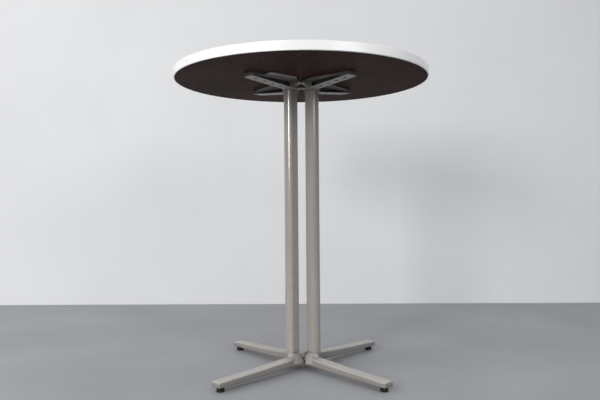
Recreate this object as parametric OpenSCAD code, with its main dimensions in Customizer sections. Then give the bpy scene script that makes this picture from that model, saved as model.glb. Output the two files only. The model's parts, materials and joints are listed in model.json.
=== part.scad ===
// Round bar-height pedestal table. Millimetres, +Z up.
// Origin: on the floor, under the centre of the tabletop.
// Two equal half-pedestals stand left and right of the centre, the right one turned by 180
// degrees. Each has a base casting with two legs, a hollow column and a top bracket with two arms.

/* [Tabletop] */
// Outside diameter of the tabletop
top_d = 914.4; // [860:0.1:960]
// Height of the tabletop's underside above the floor
underside_z = 1049; // [980:1:1080]
// Thickness of the wood core
core_t = 28.6; // [25:0.1:32]
// Thickness of the laminate on the upper face
laminate_t = 0.8; // [0.6:0.1:1.2]
// Thickness of the backer laminate on the underside
backer_t = 0.6; // [0.4:0.1:1]
// Thickness of the moulded edge band, measured inwards
band_t = 3; // [2.5:0.1:4]
// Rounding of the edge band's outer corners
band_round = 1.8; // [1:0.1:2.5]

/* [Columns] */
// Distance from the centre plane to the axis of each column's round side
column_x = 39; // [37:0.5:46]
// Radius of a column's round side
column_r = 25; // [22:0.5:27]
// Rounding of the edge where a column's two flats meet
nose_r = 4; // [3.5:0.1:6]
// Angle between a column's flats and the line through both columns
flat_angle = 47.5; // [44:0.5:52]
// Wall of a column
column_wall = 3; // [2:0.1:4]
// Height of the joint between base casting and column
base_joint_z = 65; // [62:0.5:72]
// Depth of a top bracket's head under the tabletop
head_depth = 34; // [32:0.5:40]
// Height of the spigots that enter the column's ends
spigot_h = 12; // [8:0.5:20]
// Clearance between a spigot and the column's inside
spigot_gap = 0.3; // [0.1:0.05:0.6]

/* [Base legs] */
// Distance of each glide from both centre planes
glide_xy = 263.2; // [240:0.1:275]
// Width of a leg
leg_w = 41; // [36:0.5:42]
// Width of a leg at the hub
leg_hub_w = 43; // [42:0.5:45]
// Height of a leg's underside above the floor, at its tip
leg_z = 16; // [15:0.5:17]
// Height of a leg's underside at its bend
leg_bend_z = 17.5; // [17:0.5:19]
// Height of the hub's underside
leg_hub_z = 22.5; // [21:0.5:24]
// Height of a leg's upper face at its tip
leg_tip_top = 34; // [32:0.5:35]
// Height of a leg's upper face at its bend
leg_bend_top = 40.5; // [39:0.5:41.5]
// Height of a leg's upper face at the hub
leg_hub_top = 47.5; // [46:0.5:49]
// Distance of a leg's bend from the table's axis
leg_bend_u = 200; // [180:1:220]
// Length of a leg beyond its glide
leg_overrun = 20; // [17:0.5:24]
// Rounding of a leg's long edges
leg_round = 2.5; // [1.5:0.5:4]
// Half thickness of the web between the two columns' feet
web_half = 4.5; // [3.5:0.5:7]
// How far the web stays below the column joint
web_drop = 5; // [3:0.5:8]
// How far each casting's leading half laps past the centre plane
lap = 7.5; // [5:0.5:8]
// Length of the relief in the web's top beside the lap
relief_l = 9; // [6:0.5:10]
// Depth of the relief in the web's top
relief_h = 11; // [8:0.5:13]
// Size of the conical fillet where a column's round side stands on a leg
foot_fillet = 9; // [5:0.5:10]

/* [Top brackets] */
// Reach of an arm along its centre line, from the table's axis
arm_reach = 250; // [240:1:262]
// Width of an arm
arm_w = 46; // [42:0.5:48]
// Depth of an arm at its tip
arm_tip_depth = 15; // [13:0.5:18]
// Distance from the centre plane to a bracket's inner face
bracket_gap = 13; // [11:0.5:14]
// Width of the web between the hollows in an arm's sides
arm_web = 17; // [16:0.5:30]
// Thickness of the lip under the hollows
arm_lip = 4; // [3:0.5:6]
// Thickness of the flange that lies against the tabletop
flange_t = 5; // [4:0.5:6]
// How far the flange stands out beside an arm, towards the centre plane
flange_inner = 6; // [4:1:12]
// Width of the wing on one arm, from the arm's centre line
wing_w = 62; // [40:1:66]
// Distance of the wing's outer end from the table's axis
wing_end = 198; // [150:1:205]
// How far the flange stands out beside an arm, away from the centre plane
flange_outer = 26; // [10:1:32]
// Distance of the first screw hole from the table's axis
hole_start = 99; // [92:1:104]
// Pitch of the screw holes
hole_pitch = 38.1; // [34:0.1:40]
// Diameter of the screw holes' counterbores
counterbore_d = 11; // [10:0.5:12]

/* [Fasteners] */
// Diameter of the tie rods
rod_d = 12; // [10:0.5:14]
// Radial clearance of the rods, screws and glide stems
fit_gap = 0.05; // [0.03:0.01:0.08]
// Radial clearance of the tie rods in the castings
rod_gap = 0.5; // [0.2:0.1:1]
// Diameter of the studs that join the two top brackets
stud_d = 10; // [8:0.5:11]
// Distance of the studs in front of and behind the column axes
stud_y = 48; // [40:0.5:52]
// Depth of the studs' axes below the tabletop
stud_depth = 12; // [10:0.5:14]
// Depth of the studs in each bracket
stud_bite = 20; // [14:1:22]
// Diameter of the tabletop screws' shanks
screw_d = 4.8; // [4:0.1:5.5]
// Length of the tabletop screws' shanks above the flange
screw_bite = 20; // [14:1:24]
// Diameter of the tabletop screws' heads
screw_head_d = 9.5; // [8:0.1:9.8]
// Diameter of the cross bolt that joins the base castings
cross_d = 8; // [6:0.5:8]
// Height of the cross bolt's axis above the floor
cross_z = 33; // [32:0.5:35]
// Distance from the centre plane to the cross bolt's bearing faces
cross_seat = 12.5; // [10:0.5:13]

/* [Glides] */
// Diameter of a glide's pad
pad_d = 27; // [24:0.5:32]
// Height of a glide's pad
pad_h = 11.3; // [11:0.1:11.5]
// Diameter of a glide's threaded stem
stem_d = 8; // [8:0.5:9]
// Width across flats of a glide's hexagon
stem_hex = 13; // [12:0.5:14]
// Diameter of the ball on the stem's lower end
ball_d = 10; // [9.5:0.1:10.5]
// Outside diameter of the threaded inserts in the legs
insert_d = 12; // [11:0.5:14]

/* [Hidden] */
$fn = 96;

thin = 0.1;                 // thickness of the slices that a hull joins
over = 1;                   // how far a cut runs past the face that it opens
paint = [0.62, 0.6, 0.56];
zinc = [0.78, 0.74, 0.6];
steel = [0.6, 0.61, 0.62];

top_z = underside_z + backer_t + core_t + laminate_t;
core_z = underside_z + backer_t;
core_r = top_d / 2 - band_t;
head_z = underside_z - head_depth;
column_h = head_z - base_joint_z;

glide_u = glide_xy * sqrt(2);
leg_end = glide_u + leg_overrun;
leg_tip_soft = 2;           // how far a leg's end face is drawn in on all sides
leg_root_u = 20;            // inner ends of the legs, inside the hub
leg_full_u = 80;            // from here to the hub a leg's upper face is level
slope_foot = 2;             // upright part of the hub's side under its slope
slope_end_z = 32;           // height of the slope at its outer end, in the corner under the leg
web_edge = 2;               // chamfer along the web's top
fillet_sink = 1;            // the conical fillets start this far inside the legs
flare_inset = 0.1;          // the slope stays this much inside the leg's faces
foot_land = 7;              // upright part of a casting's foot above its slope
flare_z = base_joint_z - foot_land; // top of the slope that spreads a column's foot
web_top = base_joint_z - web_drop;

// Edge between a column's round side and its flats, from the axis of the round side.
flat_depth = (column_r - nose_r) * sin(flat_angle) + nose_r;
arris_run = sqrt(pow(column_r, 2) - pow(flat_depth, 2));
arris_x = flat_depth * sin(flat_angle) - arris_run * cos(flat_angle);
ridge_x = arris_x - column_x;

base_seat_z = 38;           // face inside a foot that the tie rod's washer bears on
base_pocket_r = 13;
end_gap = 0.3;              // clearance at the ends of the bracket studs
cross_flats = 13;
cross_head_h = 5.3;
cross_nut_h = 6.5;
cross_washer_t = 1.6;
cross_washer_r = 8;
cross_tail = 2;             // thread that shows past the cross bolt's nut
cross_pocket_l = 11;        // room for the head or the nut
cross_pocket_w = 18;
washer_t = 2.5;
washer_r = rod_d;
nut_h = 10;
nut_flats = 18;
rod_tail = 2;               // thread that shows past a nut

top_seat = 14;              // metal between a head's lower face and the tie rod's washer
top_pocket_r = 15;
head_lip = 2;               // how far a head stands out around its column

arm_root_depth = head_depth - 1;
arm_knee = 70;              // the arm's underside is level from the head to here
hollow_start = 76;          // the hollows' ends, along the arm
arm_tip_solid = 34;         // length of an arm's tip outside the hollows
hollow_end = arm_reach - arm_tip_solid;
hollow_top = 12;            // depth of the hollows' upper face
tip_round = 8;
flange_tip_in = 3;          // the flange ends this much inside the arm's sides
wing_start = 50;
lug_l = stud_bite + 6;      // block that holds a stud
lug_w = 24;
lug_h = stud_depth + 12;
lug_top = 2;
screw_seat = 9;             // metal between the screw heads and the tabletop
holes = [0:3];
screwed = [1, 3];           // holes of each arm that hold a screw
screw_head_h = 3;
screw_head_taper = 1;       // the head is this much smaller in radius at its lower face
recess_l = 6;               // cross recess in a screw's head
recess_w = 1.4;
recess_h = 1.8;
stud_nut_h = 6.5;
stud_nut_flats = 16;
stud_washer_t = 1.6;
stud_washer_r = 10;

stem_top = leg_tip_top - 3;
stem_play = 0.2;            // gap between the hexagon and the pad
stem_neck_r = 3;
insert_over = 0.4;          // how far an insert goes past its stem
ball_z = 6;
insert_top = stem_top + insert_over;
pad_foot = 1.2;             // chamfer under the pad

corners = [[-1, -1], [1, -1], [-1, 1], [1, 1]];

// ---- shapes that several pieces share ----

// Leaves a left-hand piece in place (-1), or turns it to the other side (1).
module turned(side) {
    rotate([0, 0, side < 0 ? 0 : 180]) children();
}

// Frame of a left-hand arm or leg: +X runs outwards from the table's axis, +Y to its inner side.
// y = -1 is the front one, and y = 1 the back one.
module corner_frame(y) {
    if (y < 0) rotate([0, 0, -135]) children();
    else mirror([0, 1, 0]) rotate([0, 0, -135]) children();
}

// Section of a column: round outside, two flats that meet at a rounded nose towards +X.
// inset moves the whole outline inwards.
module column_outline(inset = 0) {
    nose = nose_r - inset;
    at = [column_r - nose_r + nose * sin(flat_angle), nose * cos(flat_angle)];
    far = at + 2 * column_r * [-cos(flat_angle), sin(flat_angle)];
    back = -2 * column_r;
    intersection() {
        circle(r = column_r - inset);
        union() {
            polygon([at, far, [back, far[1]], [back, -far[1]], [far[0], -far[1]], [at[0], -at[1]]]);
            translate([column_r - nose_r, 0]) circle(r = nose);
        }
    }
}

// Thin upright slice across a leg at distance u, with rounded corners.
// inset draws it in on all sides.
module leg_slice(u, w, z0, z1, inset = 0) {
    in = leg_round + inset;
    for (v = [-1, 1], z = [z0 + in, z1 - in])
        translate([u, v * (w / 2 - in), z])
            rotate([0, 90, 0]) cylinder(r = leg_round, h = thin, $fn = 24);
}

module hex(flats, h) {
    cylinder(d = flats / cos(30), h = h, $fn = 6);
}

module ring(r_out, r_in, h) {
    difference() {
        cylinder(r = r_out, h = h);
        translate([0, 0, -over]) cylinder(r = r_in, h = h + 2 * over);
    }
}

// ---- tabletop ----

module screw_places() {
    for (side = [-1, 1], y = [-1, 1], i = screwed)
        turned(side) corner_frame(y) translate([hole_start + i * hole_pitch, 0, 0]) children();
}

module screw_pilots() {
    screw_places() translate([0, 0, underside_z - over])
        cylinder(r = screw_d / 2 + fit_gap, h = screw_bite + over + fit_gap, $fn = 24);
}

module tabletop_core() {
    color([0.72, 0.6, 0.45]) difference() {
        translate([0, 0, core_z]) cylinder(r = core_r, h = core_t, $fn = 180);
        screw_pilots();
    }
}

module top_laminate() {
    color([0.93, 0.93, 0.92])
        translate([0, 0, core_z + core_t]) cylinder(r = core_r, h = laminate_t, $fn = 180);
}

module backer_laminate() {
    color([0.2, 0.13, 0.11]) difference() {
        translate([0, 0, underside_z]) cylinder(r = core_r, h = backer_t, $fn = 180);
        screw_pilots();
    }
}

module edge_band() {
    h = top_z - underside_z;
    r = top_d / 2;
    color([0.93, 0.93, 0.92]) translate([0, 0, underside_z]) rotate_extrude($fn = 180) {
        translate([core_r, 0]) square([band_t - band_round, h]);
        translate([core_r, band_round]) square([band_t, h - 2 * band_round]);
        for (z = [band_round, h - band_round]) intersection() {
            translate([r - band_round, z]) circle(r = band_round, $fn = 32);
            translate([core_r, 0]) square([band_t, h]);
        }
    }
}

// ---- columns and tie rods ----

module column(side) {
    color(paint) turned(side) translate([-column_x, 0, base_joint_z])
        linear_extrude(column_h) difference() {
            column_outline();
            column_outline(column_wall);
        }
}

module spigot() {
    linear_extrude(spigot_h) column_outline(column_wall + spigot_gap);
}

rod_z0 = base_seat_z - washer_t - nut_h - rod_tail;
rod_z1 = head_z + top_seat + washer_t + nut_h + rod_tail;

module tie_rod(side) {
    color(steel) translate([side * column_x, 0, rod_z0])
        cylinder(d = rod_d, h = rod_z1 - rod_z0);
}

module both_rods(z) {
    for (side = [-1, 1]) translate([side * column_x, 0, z]) children();
}

module rod_nut() {
    difference() {
        hex(nut_flats, nut_h);
        translate([0, 0, -over]) cylinder(r = rod_d / 2 + fit_gap, h = nut_h + 2 * over);
    }
}

module rod_washer() {
    ring(washer_r, rod_d / 2 + fit_gap, washer_t);
}

module tie_rod_top_nuts() {
    color(zinc) both_rods(head_z + top_seat + washer_t) rod_nut();
}

module tie_rod_top_washers() {
    color(zinc) both_rods(head_z + top_seat) rod_washer();
}

module tie_rod_base_nuts() {
    color(zinc) both_rods(base_seat_z - washer_t - nut_h) rod_nut();
}

module tie_rod_base_washers() {
    color(zinc) both_rods(base_seat_z - washer_t) rod_washer();
}

// ---- top brackets ----

// Side view of an arm, measured down from the tabletop.
module arm_profile() {
    polygon([[0, 0], [arm_reach, 0], [arm_reach, -arm_tip_depth],
             [arm_knee, -arm_root_depth], [0, -arm_root_depth]]);
}

module arm_plan() {
    translate([0, -arm_w / 2]) square([arm_reach - tip_round, arm_w]);
    translate([0, -arm_w / 2 + tip_round]) square([arm_reach, arm_w - 2 * tip_round]);
    for (v = [-1, 1])
        translate([arm_reach - tip_round, v * (arm_w / 2 - tip_round)]) circle(r = tip_round);
}

// Stands a side view up along the arm, from v0 to v0 + w across it.
module across_arm(v0, w) {
    translate([0, v0 + w, underside_z]) rotate([90, 0, 0]) linear_extrude(w) children();
}

module arm_body() {
    intersection() {
        across_arm(-arm_w / 2 - over, arm_w + 2 * over) arm_profile();
        translate([0, 0, head_z]) linear_extrude(head_depth) arm_plan();
    }
}

// Side view of a hollow: round at the head, parallel to the arm's underside.
module hollow_profile() {
    fall = (arm_root_depth - arm_tip_depth) / (arm_reach - arm_knee);
    root = arm_root_depth - arm_lip - fall * (hollow_start - arm_knee);
    end = arm_root_depth - arm_lip - fall * (hollow_end - arm_knee);
    r = (root - hollow_top) / 2;
    translate([hollow_start + r, -hollow_top - r]) circle(r = r, $fn = 48);
    polygon([[hollow_start + r, -hollow_top], [hollow_end, -hollow_top],
             [hollow_end, -end], [hollow_start + r, -root]]);
}

module arm_hollows() {
    across_arm(arm_web / 2, arm_w) hollow_profile();
    across_arm(-arm_web / 2 - arm_w, arm_w) hollow_profile();
}

module arm_holes() {
    for (i = holes) translate([hole_start + i * hole_pitch, 0, 0]) {
        translate([0, 0, head_z - over])
            cylinder(d = counterbore_d, h = head_depth - screw_seat + over, $fn = 32);
        translate([0, 0, underside_z - screw_seat - over])
            cylinder(r = screw_d / 2 + rod_gap, h = screw_seat + 2 * over, $fn = 24);
    }
}

// Thin flange against the tabletop, wide at the head and as wide as the arm at its tip.
module arm_flange() {
    inner = arm_w / 2 + flange_inner;
    outer = arm_w / 2 + flange_outer;
    tip = arm_w / 2 - flange_tip_in;
    translate([0, 0, underside_z - flange_t]) linear_extrude(flange_t)
        polygon([[0, -outer], [hole_start, -outer], [arm_reach - tip_round, -tip],
                 [arm_reach - tip_round, tip], [hole_start, inner], [0, inner]]);
}

// Plate against the tabletop on the inner side of the front arm.
module arm_wing() {
    translate([wing_start, 0, underside_z - flange_t])
        cube([wing_end - wing_start, wing_w, flange_t]);
}

module bracket(side) {
    color(paint) turned(side) difference() {
        union() {
            translate([-column_x, 0, head_z]) linear_extrude(head_depth) column_outline(-head_lip);
            translate([-column_x, 0, head_z - spigot_h]) spigot();
            intersection() {
                union() {
                    for (y = [-1, 1]) corner_frame(y) {
                        difference() {
                            arm_body();
                            arm_hollows();
                        }
                        arm_flange();
                    }
                    corner_frame(-1) arm_wing();
                }
                translate([-top_d - bracket_gap, -top_d / 2, 0]) cube([top_d, top_d, top_z]);
            }
            for (y = [-1, 1])
                translate([-bracket_gap - lug_l, y * stud_y - lug_w / 2, underside_z - lug_h])
                    cube([lug_l, lug_w, lug_h - lug_top]);
        }
        for (y = [-1, 1]) {
            corner_frame(y) arm_holes();
            translate([-bracket_gap - stud_bite, y * stud_y, underside_z - stud_depth])
                rotate([0, 90, 0]) cylinder(r = stud_d / 2 + fit_gap, h = stud_bite + over);
        }
        translate([-column_x, 0, head_z - spigot_h - over])
            cylinder(r = rod_d / 2 + rod_gap, h = head_depth + spigot_h);
        translate([-column_x, 0, head_z + top_seat])
            cylinder(r = top_pocket_r, h = head_depth);
    }
}

module bracket_screws(side) {
    color(zinc) turned(side) for (y = [-1, 1], i = screwed)
        corner_frame(y) translate([hole_start + i * hole_pitch, 0, underside_z - screw_seat]) {
            cylinder(d = screw_d, h = screw_seat + screw_bite, $fn = 24);
            translate([0, 0, -screw_head_h]) difference() {
                cylinder(r1 = screw_head_d / 2 - screw_head_taper, r2 = screw_head_d / 2,
                    h = screw_head_h, $fn = 32);
                for (a = [0, 90]) rotate([0, 0, a])
                    translate([-recess_l / 2, -recess_w / 2, -over])
                        cube([recess_l, recess_w, over + recess_h]);
            }
        }
}

module stud_frames() {
    for (y = [-1, 1]) translate([0, y * stud_y, underside_z - stud_depth])
        rotate([0, 90, 0]) children();
}

module bracket_studs() {
    reach = bracket_gap + stud_bite - end_gap;
    color(steel) stud_frames() translate([0, 0, -reach]) cylinder(d = stud_d, h = 2 * reach);
}

module bracket_stud_washers() {
    color(zinc) stud_frames() for (m = [0, 1]) mirror([0, 0, m])
        translate([0, 0, bracket_gap - stud_washer_t])
            ring(stud_washer_r, stud_d / 2 + fit_gap, stud_washer_t);
}

module bracket_stud_nuts() {
    color(zinc) stud_frames() for (m = [0, 1]) mirror([0, 0, m])
        translate([0, 0, bracket_gap - stud_washer_t - stud_nut_h]) difference() {
            hex(stud_nut_flats, stud_nut_h);
            translate([0, 0, -over])
                cylinder(r = stud_d / 2 + fit_gap, h = stud_nut_h + 2 * over);
        }
}

// ---- base castings ----

// Outer part of a leg, from its bend to its tip.
module leg_outer() {
    hull() {
        leg_slice(leg_bend_u, leg_w, leg_bend_z, leg_bend_top);
        leg_slice(leg_end - leg_tip_soft, leg_w, leg_z, leg_tip_top);
        leg_slice(leg_end - thin, leg_w, leg_z, leg_tip_top, leg_tip_soft);
    }
}

// Inner part of a leg, from the hub to just past its bend.
module leg_inner() {
    hull() {
        leg_slice(leg_root_u, leg_hub_w, leg_hub_z, leg_hub_top);
        leg_slice(leg_full_u, leg_hub_w, leg_hub_z, leg_hub_top);
        leg_slice(leg_bend_u + over, leg_w, leg_bend_z, leg_bend_top, flare_inset);
    }
}

// Slope that spreads a column's flats to the inner side of the leg at y.
module flare(y) {
    z0 = leg_hub_z + flare_inset;
    side = leg_hub_w / sqrt(2) - flare_inset;
    x0 = ridge_x - over;
    x1 = x0 + slope_foot;
    hull() {
        translate([0, 0, flare_z - thin]) linear_extrude(thin) intersection() {
            translate([-column_x, 0]) column_outline(thin, $fn = 48);
            translate([x0, y < 0 ? -column_r : 0]) square([2 * column_r, column_r]);
        }
        translate([0, 0, z0]) linear_extrude(slope_end_z - z0)
            polygon([[x0, 0], [x0, y * (side - x0)], [x1, y * (side - x1)], [x1, 0]]);
        translate([0, 0, z0]) linear_extrude(slope_foot)
            polygon([[x0, 0], [x0, y * (side - x0)], [lap, y * (side - lap)], [lap, 0]]);
    }
}

// Web between the two columns' feet.
module web() {
    shoulder = web_top - web_edge;
    crest = web_half - web_edge;
    translate([-column_x, 0, 0]) rotate([90, 0, 90]) linear_extrude(column_x + lap)
        polygon([[-web_half, leg_hub_z], [web_half, leg_hub_z], [web_half, shoulder],
                 [crest, web_top], [-crest, web_top], [-web_half, shoulder]]);
}

// Conical fillets between a column's round side and the tops of its two legs.
module foot_fillets() {
    rise = foot_fillet + fillet_sink;
    intersection() {
        translate([-column_x, 0, leg_hub_top - fillet_sink])
            cylinder(r1 = column_r + rise, r2 = column_r, h = rise);
        for (y = [-1, 1]) corner_frame(y)
            translate([0, -leg_hub_w / 2 + flare_inset, 0])
                cube([leg_bend_u, leg_hub_w - 2 * flare_inset, base_joint_z]);
        translate([ridge_x - top_d, -top_d / 2, 0]) cube([top_d, top_d, base_joint_z]);
    }
}

// Space of the left casting: its front half laps past the centre plane, its back half stays short.
module left_half() {
    span = glide_xy + leg_w;
    translate([-span, -span, 0]) cube([span + lap, span, base_joint_z]);
    translate([-span, -over, 0]) cube([span - lap, span + over, base_joint_z]);
}

module glide_axes() {
    for (y = [-1, 1]) translate([-glide_xy, y * glide_xy, 0]) children();
}

module base_casting(side) {
    color(paint) turned(side) difference() {
        union() {
            translate([-column_x, 0, leg_hub_z])
                linear_extrude(base_joint_z - leg_hub_z) column_outline();
            translate([-column_x, 0, base_joint_z]) spigot();
            intersection() {
                union() {
                    web();
                    foot_fillets();
                    for (y = [-1, 1]) {
                        flare(y);
                        corner_frame(y) leg_outer();
                        intersection() {
                            corner_frame(y) leg_inner();
                            translate([ridge_x - top_d, -top_d / 2, 0]) cube([top_d, top_d, base_joint_z]);
                        }
                    }
                }
                left_half();
            }
        }
        translate([-lap - relief_l, 0, web_top - relief_h])
            cube([relief_l + over, web_half + over, relief_h + over]);
        translate([-column_x, 0, 0])
            cylinder(r = rod_d / 2 + rod_gap, h = base_joint_z + spigot_h + over);
        translate([-column_x, 0, leg_z - over])
            cylinder(r = base_pocket_r, h = base_seat_z - leg_z + over);
        translate([-cross_seat - cross_pocket_l, -cross_pocket_w / 2, leg_z - over])
            cube([cross_pocket_l, cross_pocket_w, cross_z + cross_pocket_w / 2 - leg_z + over]);
        translate([-cross_seat - over, 0, cross_z])
            rotate([0, 90, 0]) cylinder(r = cross_d / 2 + fit_gap, h = cross_seat + lap + 2 * over);
        glide_axes() cylinder(d = insert_d, h = insert_top + fit_gap);
    }
}

module along_cross(x) {
    translate([x, 0, cross_z]) rotate([0, 90, 0]) children();
}

module base_cross_bolt() {
    head = cross_seat + cross_washer_t;
    color(zinc) {
        along_cross(-head - cross_head_h) hex(cross_flats, cross_head_h);
        along_cross(-head - thin)
            cylinder(d = cross_d, h = thin + 2 * head + cross_nut_h + cross_tail);
    }
}

module base_cross_nut() {
    color(zinc) along_cross(cross_seat + cross_washer_t) difference() {
        hex(cross_flats, cross_nut_h);
        translate([0, 0, -over])
            cylinder(r = cross_d / 2 + fit_gap, h = cross_nut_h + 2 * over);
    }
}

module base_cross_washers() {
    color(zinc) for (x = [-cross_seat - cross_washer_t, cross_seat])
        along_cross(x) ring(cross_washer_r, cross_d / 2 + fit_gap, cross_washer_t);
}

// ---- levelling glides ----

module glide_inserts() {
    color(zinc) for (c = corners) translate([c[0] * glide_xy, c[1] * glide_xy, leg_z])
        ring(insert_d / 2, stem_d / 2 + fit_gap, insert_top - leg_z);
}

module glide_stem(cx, cy) {
    hex_z = pad_h + stem_play;
    color(steel) translate([cx * glide_xy, cy * glide_xy, 0]) {
        translate([0, 0, ball_z]) sphere(d = ball_d, $fn = 48);
        translate([0, 0, ball_z]) cylinder(r = stem_neck_r, h = hex_z - ball_z + thin);
        translate([0, 0, hex_z]) hex(stem_hex, leg_z - hex_z);
        translate([0, 0, hex_z]) cylinder(d = stem_d, h = stem_top - hex_z);
    }
}

module glide_pad(cx, cy) {
    color([0.05, 0.05, 0.05]) translate([cx * glide_xy, cy * glide_xy, 0]) difference() {
        rotate_extrude() polygon([
            [0, 0], [pad_d / 2 - pad_foot, 0], [pad_d / 2, pad_foot],
            [pad_d / 2, pad_h - pad_foot], [pad_d / 2 - pad_foot, pad_h], [0, pad_h]]);
        translate([0, 0, ball_z]) sphere(d = ball_d + 2 * fit_gap, $fn = 48);
        translate([0, 0, ball_z]) cylinder(r = stem_neck_r + 2 * stem_play, h = pad_h);
    }
}

tabletop_core();
top_laminate();
backer_laminate();
edge_band();
bracket(-1);  // left_top_bracket
bracket(1);  // right_top_bracket
bracket_screws(-1);  // left_bracket_screws
bracket_screws(1);  // right_bracket_screws
bracket_studs();
bracket_stud_nuts();
bracket_stud_washers();
column(-1);  // left_column
column(1);  // right_column
tie_rod(-1);  // left_tie_rod
tie_rod(1);  // right_tie_rod
tie_rod_top_nuts();
tie_rod_top_washers();
tie_rod_base_nuts();
tie_rod_base_washers();
base_casting(-1);  // left_base_casting
base_casting(1);  // right_base_casting
base_cross_bolt();
base_cross_nut();
base_cross_washers();
glide_inserts();
glide_stem(-1, -1);  // glide_stem_front_left
glide_stem(1, -1);  // glide_stem_front_right
glide_stem(-1, 1);  // glide_stem_back_left
glide_stem(1, 1);  // glide_stem_back_right
glide_pad(-1, -1);  // glide_pad_front_left
glide_pad(1, -1);  // glide_pad_front_right
glide_pad(-1, 1);  // glide_pad_back_left
glide_pad(1, 1);  // glide_pad_back_right
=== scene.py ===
"""Looks of the round bar-height pedestal table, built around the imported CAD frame."""
import json
import math

import bpy
from mathutils import Matrix, Vector


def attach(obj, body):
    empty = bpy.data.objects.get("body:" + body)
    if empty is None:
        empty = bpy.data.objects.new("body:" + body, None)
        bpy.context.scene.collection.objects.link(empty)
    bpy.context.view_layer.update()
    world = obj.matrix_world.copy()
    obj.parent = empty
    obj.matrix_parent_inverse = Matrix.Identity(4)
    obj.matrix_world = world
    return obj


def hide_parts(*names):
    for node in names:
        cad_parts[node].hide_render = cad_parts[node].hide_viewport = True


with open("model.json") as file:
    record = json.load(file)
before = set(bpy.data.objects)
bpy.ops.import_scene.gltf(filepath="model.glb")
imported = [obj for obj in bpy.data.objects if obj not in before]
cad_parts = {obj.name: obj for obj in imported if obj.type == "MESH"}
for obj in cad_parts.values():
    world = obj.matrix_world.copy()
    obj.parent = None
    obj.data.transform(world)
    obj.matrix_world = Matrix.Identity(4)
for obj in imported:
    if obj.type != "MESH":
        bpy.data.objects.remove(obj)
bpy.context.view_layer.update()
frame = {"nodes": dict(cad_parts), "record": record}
nodes = frame["nodes"]

# lengths in metres
VOXEL = 0.0012        # grid of the castings' soft skins
SKIN_PASSES = 3       # smoothing passes over a soft skin
EDGE = 0.0003         # broken edge of machined and moulded pieces
TUBE_EDGE = 0.0007    # broken edge at the columns' ends
EDGE_ANGLE = math.radians(30)
WALL_Y = 1.32         # the stage: a floor and one wall behind the table
FRONT_Y = -2.6
HALF_WIDTH = 3.2
WALL_TOP = 3.0
CAMERA_PLACE = (0.0349, -2.14749, 0.61763)
CAMERA_YAW, CAMERA_PITCH, CAMERA_ROLL = 0.01959, -0.00088, -0.00765
CAMERA_SENSOR, CAMERA_LENS = 36, 35.161  # in millimetres


# ---- materials ----
class Mat:
    """A Principled material with shorthand calls for its procedural texture."""

    def __init__(self, name, rough=0.5, metal=0.0, spec=0.5):
        self.m = bpy.data.materials.new(name)
        self.m.use_nodes = True
        self.t = self.m.node_tree
        self.b = next(n for n in self.t.nodes if n.type == "BSDF_PRINCIPLED")
        self.b.inputs["Roughness"].default_value = rough
        self.b.inputs["Metallic"].default_value = metal
        self.b.inputs["Specular IOR Level"].default_value = spec
        self.co = self.t.nodes.new("ShaderNodeTexCoord").outputs["Object"]
        self.last_bump = None

    def node(self, kind, **inputs):
        n = self.t.nodes.new(kind)
        for k, v in inputs.items():
            s = n.inputs[k.replace("_", " ")]
            if isinstance(v, bpy.types.NodeSocket):
                self.t.links.new(v, s)
            else:
                s.default_value = v
        return n

    def noise(self, scale, detail=3.0, rough=0.55):
        n = self.node("ShaderNodeTexNoise", Vector=self.co, Scale=scale, Detail=detail,
                      Roughness=rough)
        return n.outputs[0]

    def ramp(self, fac, *stops):
        n = self.node("ShaderNodeValToRGB", Fac=fac)
        e = n.color_ramp.elements
        while len(e) < len(stops):
            e.new(0.5)
        for el, (p, c) in zip(e, stops):
            el.position = p
            el.color = (*c, 1) if len(c) == 3 else c
        return n.outputs[0]

    def mix(self, fac, a, b, blend="MIX"):
        n = self.t.nodes.new("ShaderNodeMix")
        n.data_type = "RGBA"
        n.blend_type = blend
        for s, v in ((n.inputs[0], fac), (n.inputs[6], a), (n.inputs[7], b)):
            if isinstance(v, bpy.types.NodeSocket):
                self.t.links.new(v, s)
            elif isinstance(v, (int, float)):
                s.default_value = v
            else:
                s.default_value = (*v, 1)
        return n.outputs[2]

    def span(self, fac, lo, hi):
        """Spread the middle of a noise over lo to hi."""
        n = self.node("ShaderNodeMapRange", Value=fac)
        n.inputs["From Min"].default_value = 0.3
        n.inputs["From Max"].default_value = 0.7
        n.inputs["To Min"].default_value = lo
        n.inputs["To Max"].default_value = hi
        return n.outputs[0]

    def painted_corner_shade(self, reach, *stops):
        """Painted shade: darker colour in corners and holes, by how open the surface is."""
        n = self.node("ShaderNodeAmbientOcclusion", Distance=reach)
        n.samples = 8
        return self.ramp(n.outputs["AO"], *[(p, (k, k, k)) for p, k in stops])

    def color(self, out):
        self.t.links.new(out, self.b.inputs["Base Color"])

    def rough(self, out):
        self.t.links.new(out, self.b.inputs["Roughness"])

    def bump(self, height, strength, distance):
        n = self.node("ShaderNodeBump", Height=height, Strength=strength, Distance=distance)
        if self.last_bump:
            self.t.links.new(self.last_bump, n.inputs["Normal"])
        self.last_bump = n.outputs[0]
        self.t.links.new(self.last_bump, self.b.inputs["Normal"])


def scaled(c, k):
    return tuple(min(1, x * k) for x in c)


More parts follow.
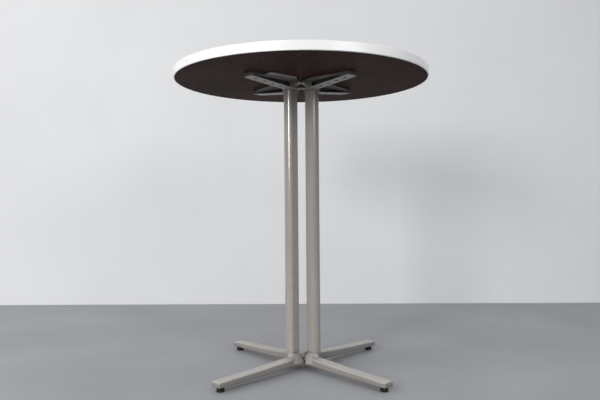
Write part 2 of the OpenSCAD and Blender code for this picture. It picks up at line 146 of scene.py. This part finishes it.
def paint_mat(name, gloss, spec, tone, painted_corner_shade=None):
    """Warm grey powder coat: orange peel, faint clouds, a little grime, and, when given,
    painted shade darkening its corners and hollows.
    """
    m = Mat(name, sum(gloss) / 2, spec=spec)
    base = scaled((0.335, 0.311, 0.288), tone)
    cloud = m.ramp(m.noise(9, 4), (0.3, scaled(base, 0.95)), (0.7, scaled(base, 1.05)))
    speck = m.ramp(m.noise(900, 2), (0.32, (0.9, 0.9, 0.9)), (0.5, (1, 1, 1)))
    grime = m.ramp(m.noise(38, 5, 0.7), (0.58, (1, 1, 1)), (0.74, (0.9, 0.88, 0.86)))
    tint = m.mix(1.0, m.mix(1.0, cloud, speck, "MULTIPLY"), grime, "MULTIPLY")
    # painted shade: colour multiplied darker where nearby parts close the surface in
    if painted_corner_shade:
        tint = m.mix(1.0, tint, m.painted_corner_shade(*painted_corner_shade), "MULTIPLY")
    m.color(tint)
    m.rough(m.span(m.noise(60, 4), *gloss))
    m.bump(m.noise(520, 2), 0.44 * gloss[0], 0.0004)
    m.bump(m.noise(30, 2), 0.25 * gloss[0], 0.002)
    return m.m


def backer_mat():
    """Dark brown backer sheet with a fine mottle and a low sheen."""
    m = Mat("brown_backer_sheet", 0.5, spec=0.01)
    mottle = m.ramp(m.noise(260, 4, 0.7), (0.36, (0.034, 0.02, 0.017)),
                    (0.55, (0.056, 0.031, 0.026)), (0.7, (0.084, 0.049, 0.04)))
    wide = m.ramp(m.noise(5, 3), (0.35, (0.85, 0.85, 0.87)), (0.68, (1.12, 1.08, 1.04)))
    m.color(m.mix(1.0, mottle, wide, "MULTIPLY"))
    m.rough(m.span(m.noise(90, 4), 0.45, 0.6))
    m.bump(m.noise(700, 3), 0.18, 0.0003)
    return m.m


def white_mat(name, color, peel, rough=(0.28, 0.4)):
    """White laminate or moulded band: nearly even, faint yellowing and scuffs."""
    m = Mat(name, sum(rough) / 2)
    tint = m.ramp(m.noise(7, 4), (0.32, scaled(color, 0.97)), (0.68, color))
    scuff = m.ramp(m.noise(70, 6, 0.75), (0.62, (1, 1, 1)), (0.78, (0.9, 0.89, 0.87)))
    m.color(m.mix(1.0, tint, scuff, "MULTIPLY"))
    m.rough(m.span(m.noise(45, 4), *rough))
    m.bump(m.noise(peel, 2), 0.12, 0.0003)
    return m.m


def metal_mat(name, lo, hi, rough):
    """Plated or plain steel: cloudy tone, fine scratches, uneven gloss."""
    m = Mat(name, sum(rough) / 2, metal=0.9)
    tone = m.ramp(m.noise(140, 5, 0.65), (0.3, lo), (0.7, hi))
    dull = m.ramp(m.noise(420, 3), (0.36, (0.72, 0.7, 0.68)), (0.52, (1, 1, 1)))
    m.color(m.mix(1.0, tone, dull, "MULTIPLY"))
    m.rough(m.span(m.noise(300, 4), *rough))
    m.bump(m.noise(900, 2), 0.2, 0.0002)
    return m.m


def pad_mat():
    """Black moulded nylon with dust in its texture."""
    m = Mat("black_nylon", 0.55, spec=0.3)
    tone = m.ramp(m.noise(350, 4, 0.7), (0.4, (0.006, 0.006, 0.0065)),
                  (0.62, (0.014, 0.014, 0.0145)))
    dust = m.ramp(m.noise(90, 5, 0.7), (0.55, (0, 0, 0)), (0.75, (0.03, 0.029, 0.027)))
    m.color(m.mix(1.0, tone, dust, "ADD"))
    m.rough(m.span(m.noise(120, 4), 0.45, 0.7))
    m.bump(m.noise(800, 3), 0.25, 0.0003)
    return m.m


def core_mat():
    """Particleboard: chips of several tones."""
    m = Mat("particleboard", 0.75)
    v = m.node("ShaderNodeTexVoronoi", Vector=m.co, Scale=420.0)
    chips = m.ramp(v.outputs["Distance"], (0.1, (0.42, 0.3, 0.18)), (0.6, (0.62, 0.48, 0.3)))
    fines = m.ramp(m.noise(600, 3), (0.3, (0.3, 0.2, 0.12)), (0.7, (0.66, 0.52, 0.35)))
    m.color(m.mix(0.5, chips, fines))
    m.rough(m.span(m.noise(300, 3), 0.65, 0.85))
    m.bump(v.outputs["Distance"], 0.4, 0.0005)
    return m.m


# One powder coat at three tones as painted light and shade: lighter on the castings, darker on
# the arms under the top and on the tubes; the last argument paints shade into corners
paint = paint_mat("grey_powder_coat", (0.36, 0.5), 1.0, 1.05, (0.12, (0.35, 0.25), (0.97, 1.0)))
arm_paint = paint_mat("grey_arm_coat", (0.4, 0.55), 0.4, 0.97, (0.08, (0.3, 0.14), (0.94, 1.0)))
tube_paint = paint_mat("grey_tube_coat", (0.16, 0.22), 1.0, 0.93)
slots = {
    "wood_core": core_mat(),
    "white_laminate": white_mat("white_laminate_top", (0.8, 0.8, 0.795), 500),
    "brown_backer": backer_mat(),
    "white_edge": white_mat("white_edge_band", (0.8, 0.795, 0.785), 260, (0.24, 0.38)),
    "grey_paint": paint,
    "zinc": metal_mat("yellowish_zinc", (0.5, 0.46, 0.3), (0.78, 0.74, 0.55), (0.3, 0.48)),
    "steel": metal_mat("plain_steel", (0.34, 0.34, 0.34), (0.58, 0.57, 0.55), (0.3, 0.5)),
    "black_pad": pad_mat(),
}
slot_of = {s["node"]: s["material_slot"] for s in frame["record"]["subparts"]}
body_of = {n: b for b, ns in frame["record"]["behaviour"]["bodies"].items() for n in ns}
coats = {hand + kind: coat for hand in ("left", "right")
         for kind, coat in (("_column", tube_paint), ("_top_bracket", arm_paint))}
for name, o in nodes.items():
    o.data.materials.clear()
    o.data.materials.append(coats.get(name, slots[slot_of[name]]))


# ---- castings: soft cast skins over the CAD solids ----
def soft_skin(node, coat):
    """A copy of a CAD casting with the rounded edges and filled corners that casting gives."""
    src = nodes[node]
    o = src.copy()
    o.data = src.data.copy()
    o.name = o.data.name = node + "_skin"
    o.parent = None
    o.matrix_world = src.matrix_world.copy()
    bpy.context.scene.collection.objects.link(o)
    for kind, values in (
        ("REMESH", {"mode": "VOXEL", "voxel_size": VOXEL, "use_smooth_shade": True}),
        ("SMOOTH", {"factor": 0.5, "iterations": SKIN_PASSES}),
    ):
        mod = o.modifiers.new(kind.lower(), kind)
        for k, v in values.items():
            setattr(mod, k, v)
    dg = bpy.context.evaluated_depsgraph_get()
    done = bpy.data.meshes.new_from_object(o.evaluated_get(dg))
    o.modifiers.clear()
    o.data = done
    o.data.materials.clear()
    o.data.materials.append(coat)
    for p in o.data.polygons:
        p.use_smooth = True
    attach(o, body_of[node])
    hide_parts(node)


for hand in ("left", "right"):
    soft_skin(hand + "_base_casting", paint)
    soft_skin(hand + "_top_bracket", arm_paint)

# machined and moulded pieces keep their CAD shape and get small broken edges
top_pieces = ("top_laminate", "backer_laminate", "tabletop_core", "edge_band")
for name, o in nodes.items():
    if name.endswith(("_casting", "_bracket")) or name in top_pieces:
        continue
    mod = o.modifiers.new("edge", "BEVEL")
    mod.width = TUBE_EDGE if "column" in name else EDGE
    mod.segments = 2
    mod.limit_method = "ANGLE"
    mod.angle_limit = EDGE_ANGLE
    mod.use_clamp_overlap = True


# ---- stage ----
def plane(name, corners, mat):
    me = bpy.data.meshes.new(name)
    me.from_pydata(corners, [], [(0, 1, 2, 3)])
    o = bpy.data.objects.new(name, me)
    me.materials.append(mat)
    bpy.context.scene.collection.objects.link(o)


def stage_mat(name, lo, hi, scale):
    """A plain stage surface, seen from its front only."""
    m = Mat(name, 0.6, spec=0.3)
    tone = m.ramp(m.noise(scale, 5), (0.3, lo), (0.7, hi))
    m.color(tone)
    back = m.node("ShaderNodeNewGeometry").outputs["Backfacing"]
    clear = m.node("ShaderNodeBsdfTransparent").outputs[0]
    mixed = m.t.nodes.new("ShaderNodeMixShader")
    m.t.links.new(back, mixed.inputs[0])
    m.t.links.new(m.b.outputs[0], mixed.inputs[1])
    m.t.links.new(clear, mixed.inputs[2])
    out = next(n for n in m.t.nodes if n.type == "OUTPUT_MATERIAL")
    m.t.links.new(mixed.outputs[0], out.inputs["Surface"])
    return m.m


plane("floor", [(-HALF_WIDTH, FRONT_Y, 0), (HALF_WIDTH, FRONT_Y, 0),
                (HALF_WIDTH, WALL_Y, 0), (-HALF_WIDTH, WALL_Y, 0)],
      stage_mat("pale_floor", (0.245, 0.25, 0.26), (0.29, 0.295, 0.305), 2.0))
plane("wall", [(-HALF_WIDTH, WALL_Y, 0), (HALF_WIDTH, WALL_Y, 0),
               (HALF_WIDTH, WALL_Y, WALL_TOP), (-HALF_WIDTH, WALL_Y, WALL_TOP)],
      stage_mat("pale_wall", (0.68, 0.685, 0.692), (0.72, 0.725, 0.732), 1.5))


def area(name, place, target, size, watts, color):
    """A rectangular lamp that faces a target."""
    d = bpy.data.lights.new(name, "AREA")
    d.shape = "RECTANGLE"
    d.size, d.size_y = size
    d.energy = watts
    d.color = color
    o = bpy.data.objects.new(name, d)
    o.location = place
    o.rotation_euler = (Vector(target) - Vector(place)).to_track_quat("-Z", "Y").to_euler()
    bpy.context.scene.collection.objects.link(o)


area("window_light", (-2.9, -4.65, 2.0), (0, 0, 1.0), (1.2, 1.7), 165, (1, 0.985, 0.96))
area("side_light", (-5.2, -1.6, 3.2), (0, 0, 0.6), (3.2, 2.2), 110, (1, 0.985, 0.97))
area("room_light", (1.7, -2.2, 1.75), (0, 0, 0.9), (1.2, 0.9), 20, (0.98, 0.98, 1))

# soft room: dim at eye level, bright towards the ceiling
world = bpy.data.worlds.new("soft_room")
bpy.context.scene.world = world
world.use_nodes = True
wt = world.node_tree
bg = next(n for n in wt.nodes if n.type == "BACKGROUND")
height = wt.nodes.new("ShaderNodeSeparateXYZ")
wt.links.new(wt.nodes.new("ShaderNodeTexCoord").outputs["Generated"], height.inputs[0])
sky = wt.nodes.new("ShaderNodeValToRGB")
wt.links.new(height.outputs["Z"], sky.inputs[0])
for el, (place, tone) in zip(sky.color_ramp.elements, ((0.05, 0.1), (0.65, 1.0))):
    el.position = place
    el.color = (0.93 * tone, 0.96 * tone, tone, 1)
wt.links.new(sky.outputs[0], bg.inputs[0])

# ---- camera at the photograph's viewing angle ----
right = Vector((math.cos(CAMERA_YAW), math.sin(CAMERA_YAW), 0))
ahead = Vector((-math.sin(CAMERA_YAW), math.cos(CAMERA_YAW), 0))
up = Vector((0, 0, 1))
look = ahead * math.cos(CAMERA_PITCH) + up * math.sin(CAMERA_PITCH)
rise = up * math.cos(CAMERA_PITCH) - ahead * math.sin(CAMERA_PITCH)
cam_x = right * math.cos(CAMERA_ROLL) + rise * math.sin(CAMERA_ROLL)
cam_y = rise * math.cos(CAMERA_ROLL) - right * math.sin(CAMERA_ROLL)
cd = bpy.data.cameras.new("camera")
cd.sensor_width = CAMERA_SENSOR
cd.lens = CAMERA_LENS
cam = bpy.data.objects.new("camera", cd)
cam.matrix_world = Matrix.Translation(CAMERA_PLACE) @ Matrix(
    (cam_x, cam_y, -look)).transposed().to_4x4()
bpy.context.scene.collection.objects.link(cam)
bpy.context.scene.camera = cam
bpy.context.scene.view_settings.view_transform = "Standard"
